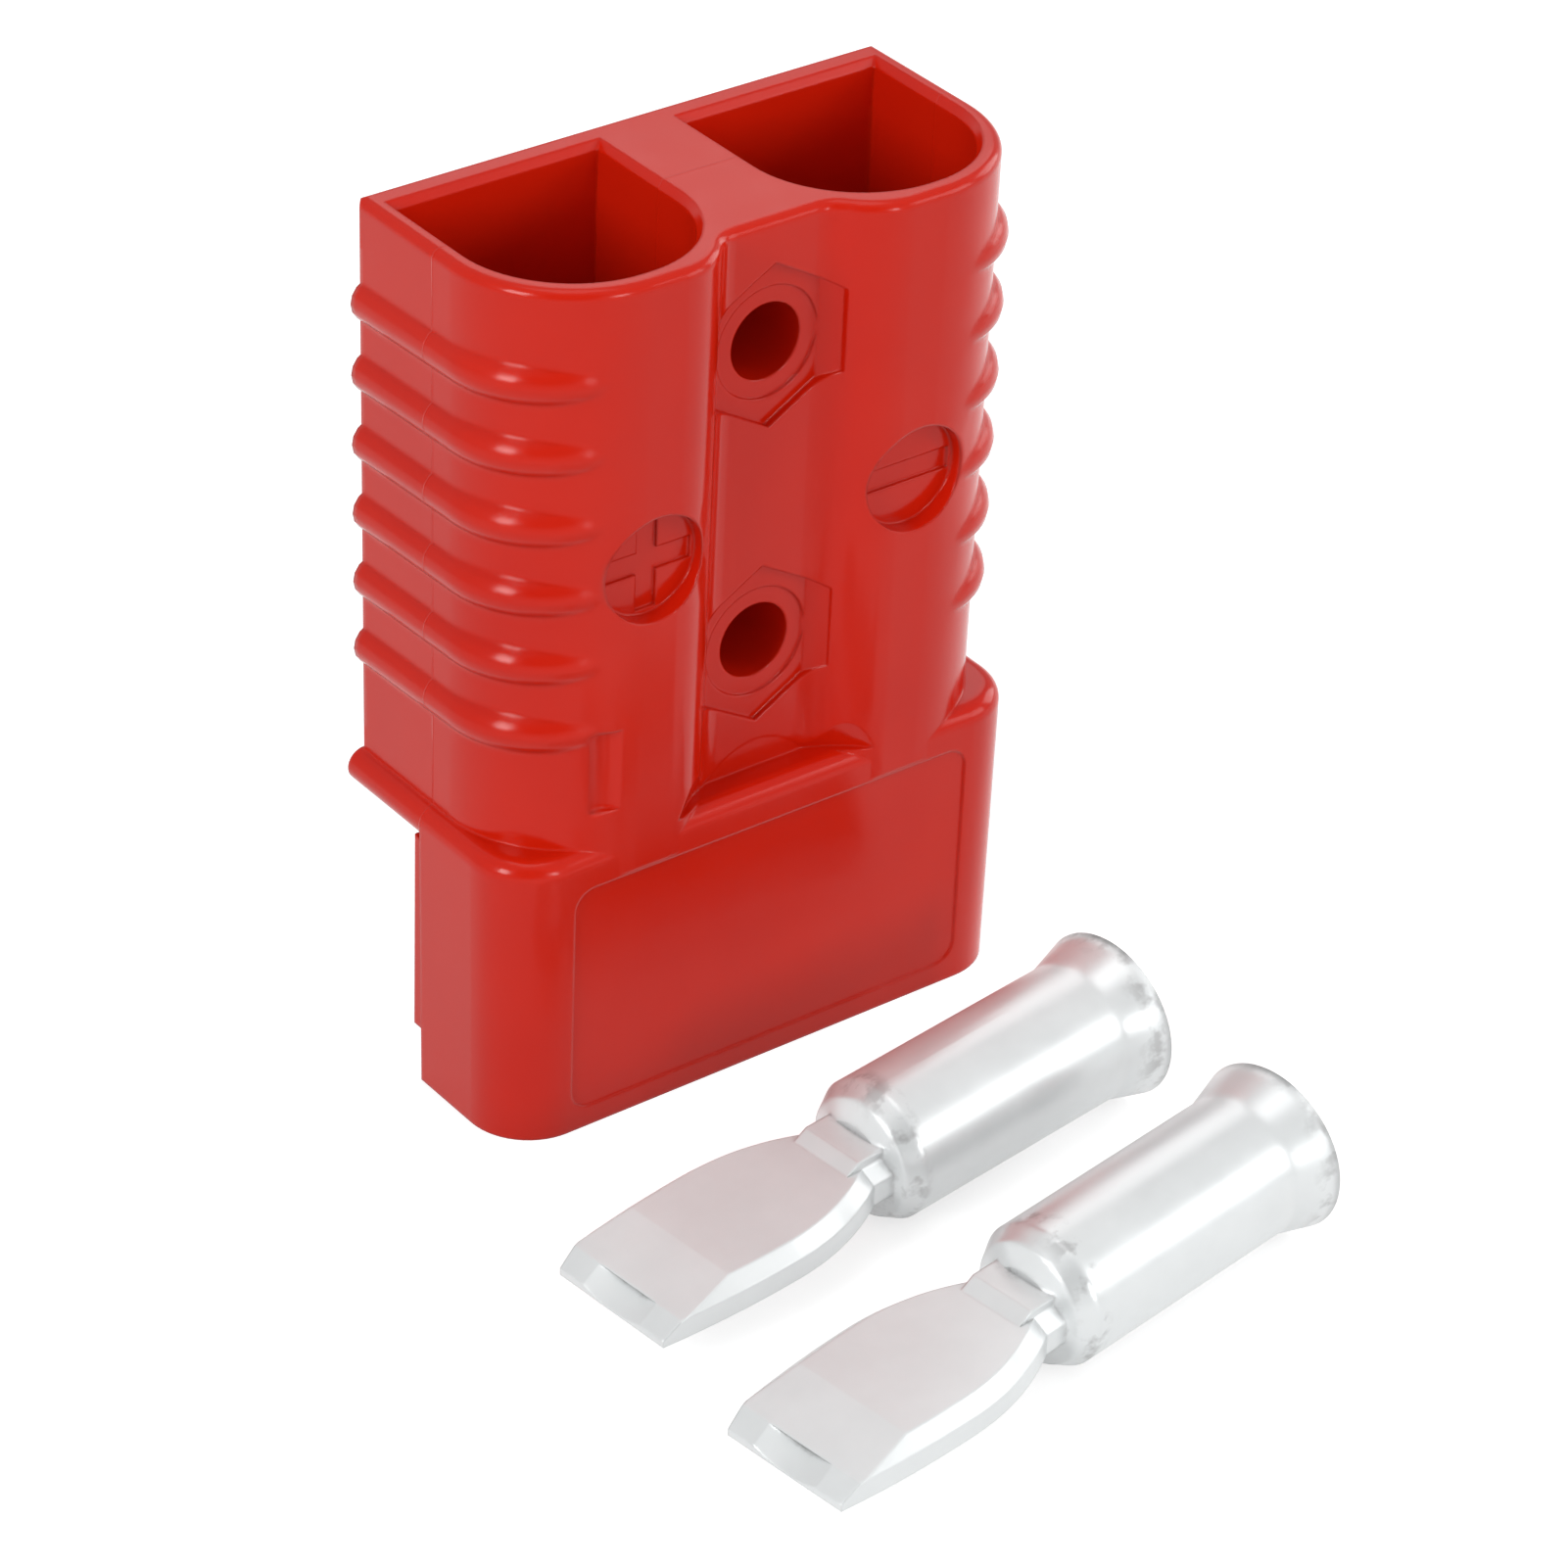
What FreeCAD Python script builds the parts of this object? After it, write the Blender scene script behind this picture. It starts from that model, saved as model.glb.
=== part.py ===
import FreeCAD
import Part
import os
from math import asin, atan, cos, degrees, radians, sin, sqrt

V = FreeCAD.Vector
X_AXIS = V(1, 0, 0)
Y_AXIS = V(0, 1, 0)
Z_AXIS = V(0, 0, 1)

# Frame: X across the two poles, Y towards the flat back, Z up to the cable end.
# z = 0 is the mating end, y = 0 the mould's parting plane, x = 0 the middle of the two poles.

# Body
total_height = 79.3
back_y = 10.7
back_top_radius = 0.45
back_corner_bevel = 0.45
tube_x = 14.65
tube_y = -2.4
tube_radius = 11.0
crest_inner_x = 11.2
crest_inner_radius = 6.0
valley_depth = 3.4
valley_radius = 3.2
top_edge_radius = 0.9
ledge_z = 24.4
draft_growth = 0.35

# Grip ribs on the two sides
rib_count = 6
rib_top_z = 70.13
rib_pitch = 6.45
rib_radius = 1.91
rib_standout = 0.93
rib_flats = 6
rib_half_angle = 70.0
rib_turn_radius = 7.5
rib_turn_y = -3.5
rib_rise = 2.0
lip_radius = 1.6

# Upright groove in the positive tube, under its last rib
groove_angle = 254.5
groove_radius = 2.2
groove_depth = 0.55
groove_bottom_z = 31.0
groove_top_z = 38.6

# Hood round the mating end
hood_half_width = 26.7
hood_front_y = -13.3
hood_corner_radius = 5.8
hood_side_wall = 3.0
hood_front_wall = 2.8
hood_wall_end_y = 1.25
hood_wall_end_radius = 0.2
hood_draft = 0.3
partition_half_width = 4.7
setback_top_z = 5.3

# Cable and contact spaces of each pole
pole_x = 14.15
cable_half_width = 9.95
cable_back_y = 8.3
cable_front_y = -11.7
cable_front_radius = 9.6
cable_floor_z = 63.0
mouth_bevel_width = 0.5
mouth_bevel_depth = 0.75
barrel_pocket_radius = 8.6
barrel_pocket_back_y = 5.6
barrel_y = -1.9
stop_z = 31.0
blade_slot_corner_radius = 3.5
blade_slot_back_y = 1.8
spring_wall_y = hood_front_y + hood_front_wall
spring_lip_height = 2.0
spring_lip_depth = 1.2

# Mounting holes and nut recesses in the valley
hole_pitch = 28.1
lower_hole_z = 39.65
hole_radius = 3.45
ring_radius = 5.05
ring_depth = 0.25
nut_across_flats = 13.0
nut_recess_depth = 0.44
tube_wall_radius = 11.25
tube_wall_x = 13.75
tube_wall_y = -2.45

# Widening of the valley at the shoulder
foot_radius = 15.0
foot_lean = 20.0
foot_height = 40.0

# Polarity marks and label field
mark_x = 13.25
mark_z = 52.85
mark_radius = 4.85
mark_depth = 1.5
mark_bar_length = 8.8
mark_bar_width = 2.0
mark_bar_depth = 0.3
label_half_width = 20.5
label_bottom_z = 2.0
label_top_z = 24.1
label_corner_radius = 2.0
label_depth = 0.2

# Contact, drawn along X with its barrel axis on the X axis and its mating face up
barrel_length = 27.5
barrel_radius = 6.35
barrel_end_radius = 3.6
barrel_end_length = 2.4
barrel_end_knee = 0.33
bore_radius = 5.1
bore_depth = 25.0
bell_radius = 7.5
bell_length = 4.0
bell_rim = 0.9
blade_length = 29.0
blade_face_height = 2.1
blade_thickness = 4.9
neck_length = 4.2
neck_half_width = 4.4
belly_x = -15.0
belly_half_width = 7.2
tip_half_width = 6.2
ramp_start_x = -21.6
ramp_drop = 1.3
bevel_start_x = -27.2
bevel_drop = 1.2
blade_top_bevel = 1.2
blade_bottom_bevel = 1.7
root_start_x = -6.2
root_top_x = -4.8
root_rise = 0.8
scoop_half_width = 3.4
scoop_depth = 0.5

# Where the contacts lie, bell end at the given point
contact_positive_at = (21.1, -33.35)
contact_positive_yaw = 5.95
contact_negative_at = (20.15, -55.5)
contact_negative_yaw = 7.7

# Leaf spring
spring_width = 10.0
spring_thickness = 0.8
spring_foot_length = 3.0
spring_crown_y = -4.2
spring_end_gap = 0.3
spring_stop_gap = 0.5

overcut = 1.0
small = 1e-4
crest_y = tube_y - tube_radius
valley_y = crest_y + valley_depth
body_half_width = tube_x + tube_radius
uncut_back_y = back_y + overcut
shoulder_z = ledge_z + 2 * lip_radius
spring_bottom_z = spring_lip_height + spring_end_gap
spring_top_z = stop_z - spring_stop_gap


def face_of(edges):
    return Part.Face(Part.Wire(Part.__sortEdges__(edges)))


def line(a, b):
    return Part.makeLine(a, b)


def arc(centre, radius, start, end):
    """Arc in the XY plane about a centre, angles in degrees, start to end the short way."""
    middle = (start + end) / 2
    points = [centre + V(cos(radians(a)), sin(radians(a)), 0) * radius for a in (start, middle, end)]
    return Part.Arc(*points).toShape()


def mirrored(shape):
    return shape.mirror(V(0, 0, 0), X_AXIS)


def both(shape):
    return shape.fuse(mirrored(shape))


def box(x0, x1, y0, y1, z0, z1):
    return Part.makeBox(x1 - x0, y1 - y0, z1 - z0, V(x0, y0, z0))


def edges_at_z(shape, z):
    found = []
    for edge in shape.Edges:
        bounds = edge.BoundBox
        if abs(bounds.ZMin - z) < small and abs(bounds.ZMax - z) < small:
            found.append(edge)
    return found


def tapered(low, low_z, high, high_z):
    """Solid between two sections at two heights."""
    low.translate(V(0, 0, low_z))
    high.translate(V(0, 0, high_z))
    return Part.makeLoft([low, high], True, True)


def body_section(growth):
    """Section of the body: two tube fronts, the valley between them, and a back to be cut flat."""
    crest_r = crest_inner_radius + growth
    valley_r = valley_radius - growth
    outer_r = tube_radius + growth
    floor_y = valley_y - growth
    crest_centre = V(crest_inner_x, crest_y + crest_inner_radius, 0)
    reach = crest_r + valley_r
    rise = crest_centre.y - (floor_y - valley_r)
    valley_centre = V(crest_inner_x - sqrt(reach ** 2 - rise ** 2), floor_y - valley_r, 0)
    slope = degrees(asin(rise / reach))
    right = tube_x + outer_r
    half = [
        arc(valley_centre, valley_r, 90, slope),
        arc(crest_centre, crest_r, 180 + slope, 270),
        line(V(crest_inner_x, crest_y - growth, 0), V(tube_x, crest_y - growth, 0)),
        arc(V(tube_x, tube_y, 0), outer_r, -90, 0),
        line(V(right, tube_y, 0), V(right, uncut_back_y, 0)),
    ]
    middle = [
        line(V(-valley_centre.x, floor_y, 0), V(valley_centre.x, floor_y, 0)),
        line(V(-right, uncut_back_y, 0), V(right, uncut_back_y, 0)),
    ]
    return Part.Wire(Part.__sortEdges__(half + [mirrored(edge) for edge in half] + middle))


def growth_at(z):
    """Outward growth of the body's front and sides at a height, from the mould's draft."""
    return draft_growth * (z - ledge_z) / (total_height - ledge_z)


def corner_waste(z):
    """Section at a height of what the bevel takes off the right back corner."""
    right = body_half_width + growth_at(z) + overcut
    back = back_y + overcut
    leg = back_corner_bevel + 2 * overcut
    corner = V(right, back, 0)
    return Part.makePolygon([corner, V(right - leg, back, 0), V(right, back - leg, 0), corner])


def body():
    """Drafted block of the body, rounded round its top, with a flat back."""
    prism = tapered(body_section(0), ledge_z, body_section(draft_growth), total_height)
    rim = [edge for edge in edges_at_z(prism, total_height) if edge.BoundBox.YMin < back_y]
    prism = prism.makeFillet(top_edge_radius, rim)
    width = 2 * body_half_width
    corner_y = back_y - back_top_radius
    corner_z = total_height - back_top_radius
    edge_round = Part.makeCylinder(back_top_radius, 2 * width, V(-width, corner_y, corner_z), X_AXIS)
    edge_waste = box(-width, width, corner_y, uncut_back_y, corner_z, total_height).cut(edge_round)
    back_waste = box(-width, width, back_y, uncut_back_y + overcut, 0, total_height)
    prism = prism.cut(back_waste.fuse(edge_waste))
    low_z = ledge_z - overcut
    high_z = total_height + overcut
    return prism.cut(both(tapered(corner_waste(low_z), low_z, corner_waste(high_z), high_z)))


def grip_rib(z):
    """Round bead along the side, rising to the front, that turns with the tube and sinks into it."""
    growth = growth_at(z)
    path_x = body_half_width + growth + rib_standout - rib_radius
    turn_radius = rib_turn_radius + growth
    points = []
    for i in range(rib_flats + 1):
        angle = radians(-rib_half_angle + 2 * rib_half_angle * i / rib_flats)
        points.append(V(path_x + rib_radius * cos(angle), rib_turn_y, z + rib_radius * sin(angle)))
    profile = Part.Face(Part.makePolygon(points + points[:1]))
    straight = profile.extrude(V(0, back_y - back_corner_bevel - rib_turn_y, 0))
    turn = profile.revolve(V(path_x - turn_radius, rib_turn_y, z), Z_AXIS, -90)
    rib = straight.fuse(turn)
    rib.rotate(V(0, back_y, z), X_AXIS, -rib_rise)
    return rib


def side_lip():
    """Last bead, at the end of the back half, in line with the hood's shoulder."""
    z = ledge_z + lip_radius
    x = hood_half_width + hood_draft - lip_radius
    bead = Part.makeCylinder(lip_radius, back_y, V(x, 0, z), Y_AXIS)
    filler = box(x - lip_radius, x, 0, back_y, ledge_z, shoulder_z)
    return bead.fuse(filler)


def hood_section(growth):
    right = hood_half_width + growth
    corner = V(right - hood_corner_radius, hood_front_y + hood_corner_radius, 0)
    half = [
        arc(corner, hood_corner_radius, -90, 0),
        line(V(right, corner.y, 0), V(right, 0, 0)),
    ]
    middle = [
        line(V(-corner.x, hood_front_y, 0), V(corner.x, hood_front_y, 0)),
        line(V(-right, 0, 0), V(right, 0, 0)),
    ]
    return Part.Wire(Part.__sortEdges__(half + [mirrored(edge) for edge in half] + middle))


def hood():
    """Block round the mating end, before its inside is cut: drafted wall and rounded shoulder band."""
    wall = tapered(hood_section(0), 0, hood_section(hood_draft), ledge_z)
    outline = hood_section(hood_draft)
    outline.translate(V(0, 0, ledge_z))
    band = Part.Face(outline).extrude(V(0, 0, shoulder_z - ledge_z))
    rim = [edge for edge in edges_at_z(band, shoulder_z) if edge.BoundBox.YMin < -small]
    return wall.fuse(band.makeFillet(lip_radius, rim))


def groove():
    """Upright groove near the front of the positive tube."""
    reach = tube_radius + groove_radius - groove_depth
    x = -tube_x + cos(radians(groove_angle)) * reach
    y = tube_y + sin(radians(groove_angle)) * reach
    return Part.makeCylinder(groove_radius, groove_top_z - groove_bottom_z, V(x, y, groove_bottom_z), Z_AXIS)


def hood_wall_ends():
    """Rear ends of the side walls and of the partition, set back near the mating end."""
    inner = hood_half_width - hood_side_wall
    wall = box(inner, hood_half_width, 0, hood_wall_end_y, setback_top_z, ledge_z)
    outer = [edge for edge in wall.Edges if edge.BoundBox.XMin > hood_half_width - small
             and edge.BoundBox.YMin > hood_wall_end_y - small]
    wall = wall.makeFillet(hood_wall_end_radius, outer)
    partition = box(-partition_half_width, partition_half_width, 0, hood_wall_end_y,
                    setback_top_z, ledge_z)
    return both(wall).fuse(partition)


def d_face(half_width, front_y, back_y_, radius, z):
    """D shaped face of a pole: square at the back, rounded at the front."""
    left = pole_x - half_width
    right = pole_x + half_width
    y = front_y + radius
    edges = [
        line(V(left, back_y_, z), V(right, back_y_, z)),
        line(V(right, back_y_, z), V(right, y, z)),
        arc(V(right - radius, y, z), radius, 0, -90),
        arc(V(left + radius, y, z), radius, -90, -180),
        line(V(left, y, z), V(left, back_y_, z)),
    ]
    if half_width > radius + small:
        edges.append(line(V(right - radius, front_y, z), V(left + radius, front_y, z)))
    return face_of(edges)


def cable_space():
    """Cable opening with its bevelled mouth."""
    bore = d_face(cable_half_width, cable_front_y, cable_back_y, cable_front_radius, cable_floor_z)
    bore = bore.extrude(V(0, 0, total_height + overcut - cable_floor_z))
    low = d_face(cable_half_width, cable_front_y, cable_back_y, cable_front_radius,
                 total_height - mouth_bevel_depth)
    w = mouth_bevel_width
    high = d_face(cable_half_width + w, cable_front_y - w, cable_back_y + w, cable_front_radius + w,
                  total_height)
    bevel = Part.makeLoft([low.OuterWire, high.OuterWire], True, True)
    return bore.fuse(bevel)


def blade_slot():
    """Passage of the blade from the barrel pocket to the hood, with room for the spring's end."""
    slot = box(pole_x - barrel_pocket_radius, pole_x + barrel_pocket_radius,
               spring_wall_y, blade_slot_back_y, ledge_z, stop_z)
    front = [edge for edge in slot.Edges
             if edge.BoundBox.ZLength > small and edge.BoundBox.YMax < spring_wall_y + small]
    return slot.makeFillet(blade_slot_corner_radius, front)


def contact_space():
    """Pocket of the crimped barrel, slot of the blade and channel of the hood."""
    r = barrel_pocket_radius
    pocket = d_face(r, barrel_y - r, barrel_pocket_back_y, r, stop_z)
    pocket = pocket.extrude(V(0, 0, cable_floor_z - stop_z))
    inner = partition_half_width
    outer = hood_half_width - hood_side_wall
    channel = box(inner, outer, spring_wall_y, back_y, -overcut, ledge_z)
    lip = box(inner, outer, spring_wall_y, spring_wall_y + spring_lip_depth, 0, spring_lip_height)
    return pocket.fuse(blade_slot()).fuse(channel.cut(lip))


def hexagon(across_flats, y):
    """Regular hexagon in the XZ plane with corners up and down."""
    r = across_flats / sqrt(3)
    points = [V(r * sin(radians(60 * i)), y, r * cos(radians(60 * i))) for i in range(7)]
    return Part.Face(Part.makePolygon(points))


def mounting_hole(z):
    """Through hole with its shallow ring and the nut recess between the tube walls."""
    front_y = crest_y - overcut
    floor_y = valley_y + nut_recess_depth
    hole = Part.makeCylinder(hole_radius, back_y + overcut - front_y, V(0, front_y, z), Y_AXIS)
    recess = hexagon(nut_across_flats, front_y).extrude(V(0, floor_y - front_y, 0))
    recess.translate(V(0, 0, z))
    ring = Part.makeCylinder(ring_radius, floor_y + ring_depth - front_y, V(0, front_y, z), Y_AXIS)
    wall = Part.makeCylinder(tube_wall_radius, 2 * nut_across_flats,
                             V(tube_wall_x, tube_wall_y, z - nut_across_flats), Z_AXIS)
    return hole.fuse(recess.fuse(ring).cut(both(wall)))


def mark(x, upright):
    """Round recess with a bar, or a cross, sunk in its floor."""
    floor_y = crest_y + mark_depth
    disc = Part.makeCylinder(mark_radius, mark_depth + overcut, V(x, crest_y - overcut, mark_z), Y_AXIS)
    long = mark_bar_length / 2
    wide = mark_bar_width / 2
    bars = box(x - long, x + long, floor_y - overcut, floor_y + mark_bar_depth, mark_z - wide, mark_z + wide)
    if upright:
        bars = bars.fuse(box(x - wide, x + wide, floor_y - overcut, floor_y + mark_bar_depth,
                             mark_z - long, mark_z + long))
    return disc.fuse(bars)


def label_field():
    """Shallow bare field on the hood's front."""
    block = box(-label_half_width, label_half_width, hood_front_y - overcut, hood_front_y + label_depth,
                label_bottom_z, label_top_z)
    corners = [edge for edge in block.Edges if edge.BoundBox.YLength > small]
    return block.makeFillet(label_corner_radius, corners)


def valley_foot():
    """Widening of the valley just above the shoulder: a leaning cylinder, cut off at the shoulder."""
    start = V(0, valley_y - foot_radius, shoulder_z)
    axis = V(0, -sin(radians(foot_lean)), cos(radians(foot_lean)))
    sweep = Part.makeCylinder(foot_radius, foot_height, start - axis * foot_radius, axis)
    above = box(-foot_radius, foot_radius, valley_y - foot_height, valley_y,
                shoulder_z, shoulder_z + foot_height)
    return sweep.common(above)


def housing():
    solid = body().fuse(hood())
    solid = solid.fuse(both(side_lip()))
    for i in range(rib_count):
        solid = solid.fuse(both(grip_rib(rib_top_z - i * rib_pitch)))
    beyond = box(-2 * hood_half_width, 2 * hood_half_width, back_y, 2 * back_y, 0, total_height)
    solid = solid.cut(beyond)
    solid = solid.fuse(hood_wall_ends())
    solid = solid.cut(both(cable_space()))
    solid = solid.cut(both(contact_space()))
    for z in (lower_hole_z, lower_hole_z + hole_pitch):
        solid = solid.cut(mounting_hole(z))
    solid = solid.cut(mark(-mark_x, True))
    solid = solid.cut(mark(mark_x, False))
    solid = solid.cut(label_field())
    solid = solid.cut(valley_foot())
    solid = solid.cut(groove())
    return solid.removeSplitter()


def barrel():
    """Crimp barrel: turned shape with a rounded shoulder, a bell mouth and a blind bore."""
    end_x = -barrel_end_length
    knee_x = end_x + barrel_end_length * barrel_end_knee
    knee_radius = barrel_radius - (barrel_radius - barrel_end_radius) * barrel_end_knee
    bell_x = barrel_length - bell_length
    floor_x = barrel_length - bore_depth
    outline = [
        (end_x, 0), (end_x, barrel_end_radius), (knee_x, knee_radius),
        (0, barrel_radius), (bell_x, barrel_radius),
        (barrel_length, bell_radius), (barrel_length, bell_radius - bell_rim),
        (bell_x, bore_radius), (floor_x, bore_radius), (floor_x, 0), (end_x, 0),
    ]
    profile = Part.Face(Part.makePolygon([V(x, 0, r) for x, r in outline]))
    return profile.revolve(V(0, 0, 0), X_AXIS, 360)


def blade_plan():
    """Outline of the blade from above: narrow neck, wide belly, tapering to the tip."""
    z = blade_face_height - blade_thickness
    root = V(-neck_length, neck_half_width, z)
    belly = V(belly_x, belly_half_width, z)
    tip = V(-blade_length, tip_half_width, z)
    half = [line(V(0, neck_half_width, z), root)]
    for end in (root, tip):
        run = end.x - belly.x
        drop = belly.y - end.y
        radius = (run ** 2 + drop ** 2) / (2 * drop)
        mid_y = belly.y - radius + sqrt(radius ** 2 - (run / 2) ** 2)
        half.append(Part.Arc(end, V(belly.x + run / 2, mid_y, z), belly).toShape())
    other = [edge.mirror(V(0, 0, 0), Y_AXIS) for edge in half]
    ends = [line(V(x, -y, z), V(x, y, z)) for x, y in ((0, neck_half_width), (tip.x, tip.y))]
    return face_of(half + other + ends)


def across_blade(points, half_width):
    """Prism across the blade from a profile of (x, z) points."""
    corners = [V(x, -half_width, z) for x, z in points + points[:1]]
    return Part.Face(Part.makePolygon(corners)).extrude(V(0, 2 * half_width, 0))


def tip_waste():
    """What the ramp and the end bevel take off the face, with the shallow hollow in the bevel."""
    top = blade_face_height
    ramp_z = top - ramp_drop
    end_z = ramp_z - bevel_drop
    outside_x = -blade_length - overcut
    waste = across_blade([(ramp_start_x, top), (bevel_start_x, ramp_z), (-blade_length, end_z),
                          (outside_x, end_z), (outside_x, top + overcut), (ramp_start_x, top + overcut)],
                         belly_half_width + overcut)
    start = V(bevel_start_x, 0, ramp_z)
    along = V(-blade_length, 0, end_z) - start
    up = V(along.z, 0, -along.x).normalize()
    radius = (scoop_half_width ** 2 + scoop_depth ** 2) / (2 * scoop_depth)
    hollow = Part.makeCylinder(radius, 2 * along.Length, start + up * (radius - scoop_depth), along)
    return waste.fuse(hollow)


def blade():
    """Flattened blade: bevelled round its mating face, rounded underneath, with a ramp at its root."""
    top = blade_face_height
    solid = blade_plan().extrude(V(0, 0, blade_thickness))
    sides = [edge for edge in edges_at_z(solid, top) if edge.BoundBox.XLength > small]
    solid = solid.makeChamfer(blade_top_bevel, sides)
    under = [edge for edge in edges_at_z(solid, top - blade_thickness) if edge.BoundBox.XMin < -small]
    solid = solid.makeChamfer(blade_bottom_bevel, under)
    root = across_blade([(root_start_x, top), (root_top_x, top + root_rise), (0, top + root_rise), (0, top)],
                        neck_half_width - blade_top_bevel)
    return solid.cut(tip_waste()).fuse(root)


def contact():
    return barrel().fuse(blade()).removeSplitter()


def laid_down(shape, at, yaw):
    """Rest the contact on its bell and the barrel's other end, then turn it and move it into place."""
    tilt = degrees(atan((bell_radius - barrel_radius) / barrel_length))
    placed = shape.copy()
    placed.translate(V(-barrel_length, 0, 0))
    placed.rotate(V(0, 0, 0), Y_AXIS, -tilt)
    placed.rotate(V(0, 0, 0), Z_AXIS, yaw)
    placed.translate(V(at[0], at[1], bell_radius * cos(radians(tilt))))
    return placed


def retention_spring():
    """Leaf spring: two flat feet on the hood's inner wall and a bow between them."""
    t = spring_thickness
    y = spring_wall_y
    low = spring_bottom_z + spring_foot_length
    high = spring_top_z - spring_foot_length
    middle = (low + high) / 2
    x = pole_x - spring_width / 2
    inner = Part.Arc(V(x, y, low), V(x, spring_crown_y - t, middle), V(x, y, high)).toShape()
    outer = Part.Arc(V(x, y + t, low), V(x, spring_crown_y, middle), V(x, y + t, high)).toShape()
    profile = [
        line(V(x, y, spring_bottom_z), V(x, y, low)), inner,
        line(V(x, y, high), V(x, y, spring_top_z)),
        line(V(x, y, spring_top_z), V(x, y + t, spring_top_z)),
        line(V(x, y + t, spring_top_z), V(x, y + t, high)), outer,
        line(V(x, y + t, low), V(x, y + t, spring_bottom_z)),
        line(V(x, y + t, spring_bottom_z), V(x, y, spring_bottom_z)),
    ]
    return face_of(profile).extrude(V(spring_width, 0, 0))


def main():
    os.makedirs("parts", exist_ok=True)
    one_contact = contact()
    spring = retention_spring()
    nodes = {
        "housing": housing(),
        "contact_positive": laid_down(one_contact, contact_positive_at, contact_positive_yaw),
        "contact_negative": laid_down(one_contact, contact_negative_at, contact_negative_yaw),
        "retention_spring_positive": mirrored(spring),
        "retention_spring_negative": spring,
    }
    for name, shape in nodes.items():
        shape.exportStep("parts/" + name + ".step")
        print(name, shape.isValid(), len(shape.Solids), round(shape.Volume, 1))


main()
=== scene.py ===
from math import radians

import bpy
from mathutils import Matrix, Vector

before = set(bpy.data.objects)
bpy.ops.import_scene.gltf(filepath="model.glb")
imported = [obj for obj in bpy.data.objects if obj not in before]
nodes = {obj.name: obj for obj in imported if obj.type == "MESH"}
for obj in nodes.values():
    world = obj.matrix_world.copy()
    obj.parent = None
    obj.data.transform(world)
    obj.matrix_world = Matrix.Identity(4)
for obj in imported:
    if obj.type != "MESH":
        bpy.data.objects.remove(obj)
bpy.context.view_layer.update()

root = bpy.context.scene.collection


# Camera, fitted to the photo

CAMERA_AT = Vector((-0.25166, -0.33115, 0.28897))
CAMERA_FORWARD = Vector((0.5227, 0.6582, -0.5419)).normalized()
CAMERA_ROLL = radians(2.537)
SENSOR_WIDTH = 36.0
FOCAL_PIXELS = 5893.068
IMAGE_PIXELS = 1601
CLIP_START = 0.01
CLIP_END = 20


def make_camera():
    data = bpy.data.cameras.new("camera")
    data.sensor_fit = "HORIZONTAL"
    data.sensor_width = SENSOR_WIDTH
    data.lens = FOCAL_PIXELS / IMAGE_PIXELS * SENSOR_WIDTH
    data.clip_start = CLIP_START
    data.clip_end = CLIP_END
    right = CAMERA_FORWARD.cross(Vector((0, 0, 1))).normalized()
    up = right.cross(CAMERA_FORWARD)
    turned = Matrix.Rotation(CAMERA_ROLL, 3, -CAMERA_FORWARD)
    axes = Matrix((turned @ right, turned @ up, -CAMERA_FORWARD)).transposed()
    camera = bpy.data.objects.new("camera", data)
    camera.matrix_world = Matrix.Translation(CAMERA_AT) @ axes.to_4x4()
    root.objects.link(camera)
    bpy.context.scene.camera = camera


# Small helpers for material nodes

NODE_SAMPLES = 8


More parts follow.
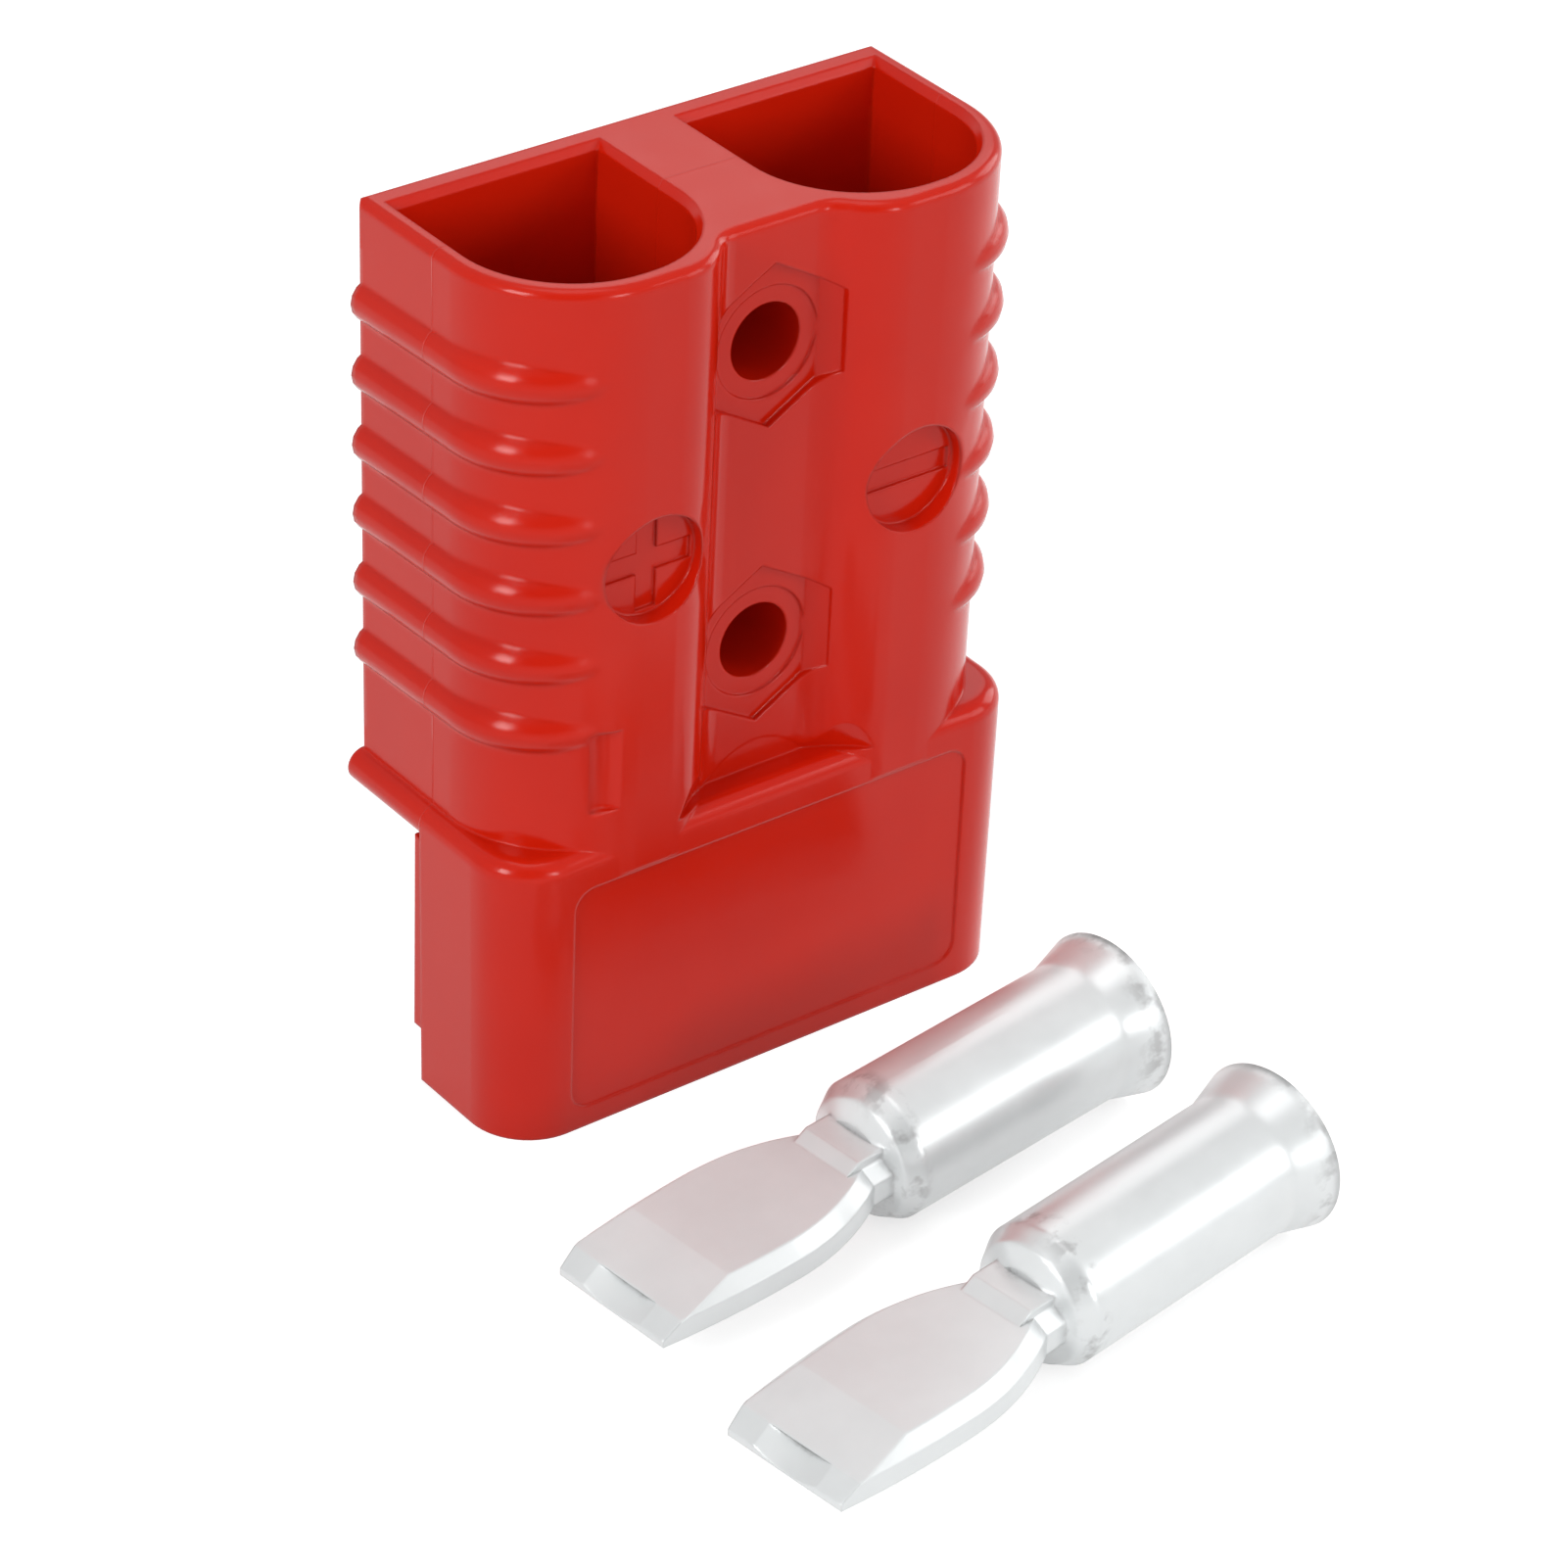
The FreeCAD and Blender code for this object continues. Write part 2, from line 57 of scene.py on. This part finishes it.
class Tree:
    """Node tree of one material or world, with short calls for the nodes used here."""

    def __init__(self, owner):
        owner.use_nodes = True
        self.nodes = owner.node_tree.nodes
        self.links = owner.node_tree.links
        self.nodes.clear()

    def add(self, kind, **settings):
        node = self.nodes.new(kind)
        for name, value in settings.items():
            setattr(node, name, value)
        return node

    def put(self, socket, value):
        if isinstance(value, bpy.types.NodeSocket):
            self.links.new(value, socket)
        else:
            socket.default_value = value

    def math(self, operation, a, b=0.0, clamp=False):
        node = self.add("ShaderNodeMath", operation=operation, use_clamp=clamp)
        self.put(node.inputs[0], a)
        self.put(node.inputs[1], b)
        return node.outputs[0]

    def split(self, vector):
        """The x, y and z of a vector."""
        node = self.add("ShaderNodeSeparateXYZ")
        self.put(node.inputs[0], vector)
        return node.outputs

    def noise(self, position, scale, detail=2.0, roughness=0.5):
        node = self.add("ShaderNodeTexNoise")
        self.put(node.inputs["Vector"], position)
        node.inputs["Scale"].default_value = scale
        node.inputs["Detail"].default_value = detail
        node.inputs["Roughness"].default_value = roughness
        return node.outputs["Fac"]

    def ramp(self, value, span, to=(0, 1)):
        """Runs from the first to the second value of to over the span, and is level beyond it."""
        node = self.add("ShaderNodeMapRange")
        self.put(node.inputs["Value"], value)
        for name, number in (("From Min", span[0]), ("From Max", span[1]),
                             ("To Min", to[0]), ("To Max", to[1])):
            self.put(node.inputs[name], number)
        return node.outputs["Result"]

    def blend(self, factor, a, b):
        """Number a where the factor is 0 and b where it is 1."""
        return self.ramp(factor, (0, 1), (a, b))

    def mix(self, factor, a, b):
        """Colour a where the factor is 0 and b where it is 1."""
        node = self.add("ShaderNodeMix", data_type="RGBA")
        colour_a, colour_b, colour_out = node.inputs[6], node.inputs[7], node.outputs[2]
        self.put(node.inputs["Factor"], factor)
        self.put(colour_a, a)
        self.put(colour_b, b)
        return colour_out

    def rounded_edges(self, radius):
        node = self.add("ShaderNodeBevel", samples=NODE_SAMPLES)
        self.put(node.inputs["Radius"], radius)
        return node.outputs["Normal"]

    def unshaded(self, reach):
        """Ambient occlusion: 1 on open surfaces, less in creases, where shade falls; it drives
        painted shade.
        """
        node = self.add("ShaderNodeAmbientOcclusion", samples=NODE_SAMPLES)
        node.inputs["Distance"].default_value = reach
        return node.outputs["AO"]

    def stretched(self, position, scale):
        node = self.add("ShaderNodeMapping")
        self.put(node.inputs["Vector"], position)
        node.inputs["Scale"].default_value = scale
        return node.outputs["Vector"]

    def bump(self, height, distance, strength, normal=None):
        node = self.add("ShaderNodeBump")
        self.put(node.inputs["Height"], height)
        node.inputs["Distance"].default_value = distance
        node.inputs["Strength"].default_value = strength
        if normal is not None:
            self.put(node.inputs["Normal"], normal)
        return node.outputs["Normal"]


def new_material(name):
    material = bpy.data.materials.new(name)
    tree = Tree(material)
    shader = tree.add("ShaderNodeBsdfPrincipled")
    output = tree.add("ShaderNodeOutputMaterial")
    tree.links.new(shader.outputs["BSDF"], output.inputs["Surface"])
    position = tree.add("ShaderNodeTexCoord").outputs["Object"]
    return material, tree, shader, position


def dress(material, *names):
    for name in names:
        for slot in nodes[name].material_slots:
            slot.link = "OBJECT"
            slot.material = material


NOISE_SPAN = 0.3, 0.7
EDGE_ROUND = 0.00035


# Housing

DEEP_RED = 0.555, 0.0105, 0.0015, 1
LIGHT_RED = 0.590, 0.0135, 0.0025, 1
RED_SPAN = 0.35, 0.65
PLASTIC_ROUGHNESS = 0.14, 0.20
PLASTIC_GRAIN = -0.01, 0.01
PLASTIC_SPECULAR = 0.22
FLOW_STRETCH = 1, 1, 0.35
WAVE_HEIGHT = 0.00005
PEEL_HEIGHT = 0.000006
PARTING_HEIGHT = 0.00003
PARTING_LINE = 0.00004, 0.00012
RIB_ROUND = 0.0009
RIBS_FROM_X = 0.0172, 0.0184
RIBS_FROM_Z = 0.0300
RIBS_TO_Z = 0.0750


def edge_radius(tree, along):
    """Small at the marks and edges, larger over the grip ribs, whose beads are round."""
    beside = tree.ramp(tree.math("ABSOLUTE", along["X"]), RIBS_FROM_X)
    above = tree.math("GREATER_THAN", along["Z"], RIBS_FROM_Z)
    below = tree.math("LESS_THAN", along["Z"], RIBS_TO_Z)
    ribs = tree.math("MULTIPLY", beside, tree.math("MULTIPLY", above, below))
    return tree.blend(ribs, EDGE_ROUND, RIB_ROUND)


def moulded_plastic():
    """Glossy red plastic: faint flow clouds, soft edges, slight waves and a parting line."""
    material, tree, shader, position = new_material("moulded_red_plastic")
    clouds = tree.noise(position, scale=45, detail=3)
    colour = tree.mix(tree.ramp(clouds, RED_SPAN), DEEP_RED, LIGHT_RED)
    tree.put(shader.inputs["Base Color"], colour)
    flow = tree.noise(tree.stretched(position, FLOW_STRETCH), scale=220, detail=3)
    fine = tree.noise(position, scale=2500, detail=2)
    rough = tree.ramp(flow, NOISE_SPAN, PLASTIC_ROUGHNESS)
    rough = tree.math("ADD", rough, tree.ramp(fine, NOISE_SPAN, PLASTIC_GRAIN))
    tree.put(shader.inputs["Roughness"], rough)
    along = tree.split(position)
    parting = tree.ramp(tree.math("ABSOLUTE", along["Y"]), PARTING_LINE, (1, 0))
    soft = tree.rounded_edges(edge_radius(tree, along))
    swell = tree.noise(position, scale=110, detail=1)
    waves = tree.bump(swell, WAVE_HEIGHT, strength=0.5, normal=soft)
    peel = tree.bump(flow, PEEL_HEIGHT, strength=0.5, normal=waves)
    ridge = tree.bump(parting, PARTING_HEIGHT, strength=0.7, normal=peel)
    tree.put(shader.inputs["Normal"], ridge)
    shader.inputs["Specular IOR Level"].default_value = PLASTIC_SPECULAR
    return material


# Contacts, which lie along x with their blades towards -x

DULL_SILVER = 0.700, 0.722, 0.726, 1
BRIGHT_SILVER = 0.750, 0.772, 0.776, 1
# Dark grey of the tarnish spots, also used as painted shade in the creases
TARNISH_AND_CREASE_SHADE = 0.22, 0.22, 0.22, 1
RUBBED = 0.36, 0.36, 0.36, 1
# Reach and span of the painted crease shade, taken from ambient occlusion
CREASE_SHADE_REACH = 0.0016
CREASE_SHADE_SPAN = 0.35, 0.85
CLEAN_AND_UNSHADED_SPAN = 0.0, 0.75
SPOT_SPAN = 0.45, 0.65
SPOT_DEPTH = 0.25
FLECK_SPAN = 0.5, 0.62
FLECK_DEPTH = 0.6
SHOULDER_X = -0.0066
FROM_SHOULDER = 0.0006, 0.0018
RIM_X = 0.0185, 0.0205
COINED_TO_X = -0.0080
COINED_FACING = 0.93, 0.96
COINED_METAL = 0.15
PLATED_METAL = 0.42
SILVER_ROUGHNESS = 0.28, 0.36
GRAIN_STRETCH = 0.5, 1, 1
DENT_HEIGHT = 0.00003
GRAIN_HEIGHT = 0.000004
NECK_X = -0.0105, -0.0085
BARREL_X = -0.0030, -0.0010
BELL_X = 0.0080, 0.0110
BLADE_ROUND = 0.0003
NECK_ROUND = 0.0007
BELL_ROUND = 0.0014


def contact_radius(tree, x):
    """Crisp at the blade and barrel, soft where the neck and the bell run into the barrel."""
    neck = tree.ramp(x, NECK_X, (BLADE_ROUND, NECK_ROUND))
    barrel = tree.ramp(x, BARREL_X, (neck, EDGE_ROUND))
    return tree.ramp(x, BELL_X, (barrel, BELL_ROUND))


def coined(tree, x):
    """1 on the flat upward faces of the blades, which are dull from the press."""
    facing = tree.split(tree.add("ShaderNodeNewGeometry").outputs["True Normal"])
    blade = tree.math("LESS_THAN", x, COINED_TO_X)
    return tree.math("MULTIPLY", tree.ramp(facing["Z"], COINED_FACING), blade)


def handled(tree, position, x):
    """Dull flecks round the shoulder and on the rim of the bell."""
    from_shoulder = tree.math("ABSOLUTE", tree.math("SUBTRACT", x, SHOULDER_X))
    shoulder = tree.ramp(from_shoulder, FROM_SHOULDER, (1, 0))
    rim = tree.ramp(x, RIM_X)
    flecks = tree.ramp(tree.noise(position, scale=420, detail=3, roughness=0.6), FLECK_SPAN)
    return tree.math("MULTIPLY", tree.math("MAXIMUM", shoulder, rim), flecks)


def clean_and_unshaded(tree, position):
    """1 where the plate is bright; less in creases, which is painted shade from ambient
    occlusion, and where it is spotted with tarnish.
    """
    spots = tree.noise(position, scale=700, detail=4, roughness=0.7)
    spots = tree.ramp(spots, SPOT_SPAN, (0, SPOT_DEPTH))
    # Painted shade: creases darken by ambient occlusion
    unshaded = tree.ramp(tree.unshaded(CREASE_SHADE_REACH), CREASE_SHADE_SPAN)
    return tree.ramp(tree.math("SUBTRACT", unshaded, spots, clamp=True), CLEAN_AND_UNSHADED_SPAN)


def silver_plate():
    """Silver-plated copper, tumbled to a pale matt finish, cloudy and spotted with tarnish, with
    painted shade darkening the creases.
    """
    material, tree, shader, position = new_material("silver_plated_copper")
    x = tree.split(position)["X"]
    clouds = tree.noise(position, scale=120, detail=4, roughness=0.6)
    bright = tree.mix(tree.ramp(clouds, NOISE_SPAN), DULL_SILVER, BRIGHT_SILVER)
    # Mix in the tarnish spots and the painted crease shade
    colour = tree.mix(clean_and_unshaded(tree, position), TARNISH_AND_CREASE_SHADE, bright)
    rubbed = tree.math("MULTIPLY", handled(tree, position, x), FLECK_DEPTH)
    tree.put(shader.inputs["Base Color"], tree.mix(rubbed, colour, RUBBED))
    metal = tree.blend(coined(tree, x), PLATED_METAL, COINED_METAL)
    tree.put(shader.inputs["Metallic"], metal)
    tree.put(shader.inputs["Roughness"], tree.ramp(clouds, NOISE_SPAN, SILVER_ROUGHNESS))
    stretched = tree.stretched(position, GRAIN_STRETCH)
    grain = tree.noise(stretched, scale=1800, detail=3, roughness=0.6)
    soft = tree.rounded_edges(contact_radius(tree, x))
    knocks = tree.noise(position, scale=180, detail=2)
    dents = tree.bump(knocks, DENT_HEIGHT, strength=0.5, normal=soft)
    matt = tree.bump(grain, GRAIN_HEIGHT, strength=0.4, normal=dents)
    tree.put(shader.inputs["Normal"], matt)
    return material


# Springs

DULL_STEEL = 0.52, 0.52, 0.53, 1
BRIGHT_STEEL = 0.66, 0.66, 0.67, 1
STEEL_ROUGHNESS = 0.24, 0.38
DRAWN_STRETCH = 1, 0.2, 0.04
LINE_HEIGHT = 0.00002


def spring_steel():
    """Stainless strip, drawn lengthways, with fine rolling lines."""
    material, tree, shader, position = new_material("stainless_strip")
    stretched = tree.stretched(position, DRAWN_STRETCH)
    lines = tree.noise(stretched, scale=3000, detail=3, roughness=0.6)
    tree.put(shader.inputs["Base Color"], tree.mix(lines, DULL_STEEL, BRIGHT_STEEL))
    shader.inputs["Metallic"].default_value = 1.0
    tree.put(shader.inputs["Roughness"], tree.ramp(lines, NOISE_SPAN, STEEL_ROUGHNESS))
    tree.put(shader.inputs["Normal"], tree.bump(lines, LINE_HEIGHT, strength=0.3))
    return material


# Surroundings

FLOOR_REACH = 3.0
FLOOR_Z = -0.00002
FLOOR_COLOUR = 0.55
FLOOR_GLOW = 0.7


def make_floor():
    """Pale floor that takes the shadow and looks white to the camera and in reflections."""
    mesh = bpy.data.meshes.new("floor")
    turns = (-1, -1), (1, -1), (1, 1), (-1, 1)
    corners = [(x * FLOOR_REACH, y * FLOOR_REACH, 0) for x, y in turns]
    mesh.from_pydata(corners, [], [(0, 1, 2, 3)])
    floor = bpy.data.objects.new("floor", mesh)
    floor.location.z = FLOOR_Z
    root.objects.link(floor)
    material = bpy.data.materials.new("white_floor")
    tree = Tree(material)
    diffuse = tree.add("ShaderNodeBsdfDiffuse")
    diffuse.inputs["Color"].default_value = FLOOR_COLOUR, FLOOR_COLOUR, FLOOR_COLOUR, 1
    glow = tree.add("ShaderNodeEmission")
    rays = tree.add("ShaderNodeLightPath").outputs
    seen = tree.math("MAXIMUM", rays["Is Camera Ray"], rays["Is Glossy Ray"])
    seen = tree.math("MAXIMUM", seen, rays["Is Transmission Ray"])
    tree.put(glow.inputs["Strength"], tree.math("MULTIPLY", seen, FLOOR_GLOW))
    both = tree.add("ShaderNodeAddShader")
    tree.links.new(diffuse.outputs[0], both.inputs[0])
    tree.links.new(glow.outputs[0], both.inputs[1])
    output = tree.add("ShaderNodeOutputMaterial")
    tree.links.new(both.outputs[0], output.inputs["Surface"])
    floor.data.materials.append(material)


WORLD_LIGHT = 0.56
TENT_WHITE = 1.0
TENT_OPENING = Vector((-0.48, -0.70, 0.52)).normalized()
TENT_OPENING_SPAN = 0.86, 0.94
TENT_OPENING_LEVEL = 0.25
TENT_WALL = Vector((0.60, 0.72, 0.35)).normalized()
TENT_WALL_SPAN = 0.70, 0.95
TENT_WALL_LEVEL = 0.7


def towards(tree, direction):
    """1 for a ray in this direction, and less the more it turns away."""
    node = tree.add("ShaderNodeVectorMath", operation="DOT_PRODUCT")
    tree.put(node.inputs[0], tree.add("ShaderNodeTexCoord").outputs["Generated"])
    node.inputs[1].default_value = direction
    return node.outputs["Value"]


def make_world():
    """White to the camera; reflections show a light tent with its darker opening and wall."""
    world = bpy.data.worlds.new("studio")
    bpy.context.scene.world = world
    tree = Tree(world)
    wall = tree.ramp(towards(tree, TENT_WALL), TENT_WALL_SPAN, (TENT_WHITE, TENT_WALL_LEVEL))
    opening = towards(tree, TENT_OPENING)
    tent = tree.ramp(opening, TENT_OPENING_SPAN, (wall, TENT_OPENING_LEVEL))
    rays = tree.add("ShaderNodeLightPath").outputs
    mirrored = tree.blend(rays["Is Glossy Ray"], WORLD_LIGHT, tent)
    seen = tree.math("MAXIMUM", rays["Is Camera Ray"], rays["Is Transmission Ray"])
    background = tree.add("ShaderNodeBackground")
    tree.put(background.inputs["Strength"], tree.blend(seen, mirrored, TENT_WHITE))
    output = tree.add("ShaderNodeOutputWorld")
    tree.links.new(background.outputs[0], output.inputs["Surface"])


AIM = Vector((0, -0.02, 0.035))
SOFTBOXES = (
    # name, place, width, height, watts
    ("left_box", (-0.78, -0.19, 0.43), 0.24, 0.36, 3.7),
    ("front_box", (0.08, -0.95, 0.30), 0.20, 0.26, 1.8),
    ("right_box", (0.65, -0.60, 0.35), 0.40, 0.40, 1.6),
    ("far_right_box", (0.95, 0.0, 0.35), 0.50, 0.50, 2.5),
    ("back_box", (0.55, 0.65, 0.75), 0.60, 0.50, 1.2),
    ("top_box", (0.0, 0.0, 1.0), 0.50, 0.50, 1.2),
)


def make_softbox(name, place, width, height, watts):
    data = bpy.data.lights.new(name, "AREA")
    data.shape = "RECTANGLE"
    data.size = width
    data.size_y = height
    data.energy = watts
    light = bpy.data.objects.new(name, data)
    light.location = place
    light.rotation_mode = "QUATERNION"
    light.rotation_quaternion = (AIM - light.location).to_track_quat("-Z", "Y")
    root.objects.link(light)


make_camera()
dress(moulded_plastic(), "housing")
dress(silver_plate(), "contact_positive", "contact_negative")
dress(spring_steel(), "retention_spring_positive", "retention_spring_negative")
make_floor()
make_world()
for softbox in SOFTBOXES:
    make_softbox(*softbox)
bpy.context.scene.view_settings.view_transform = "Standard"
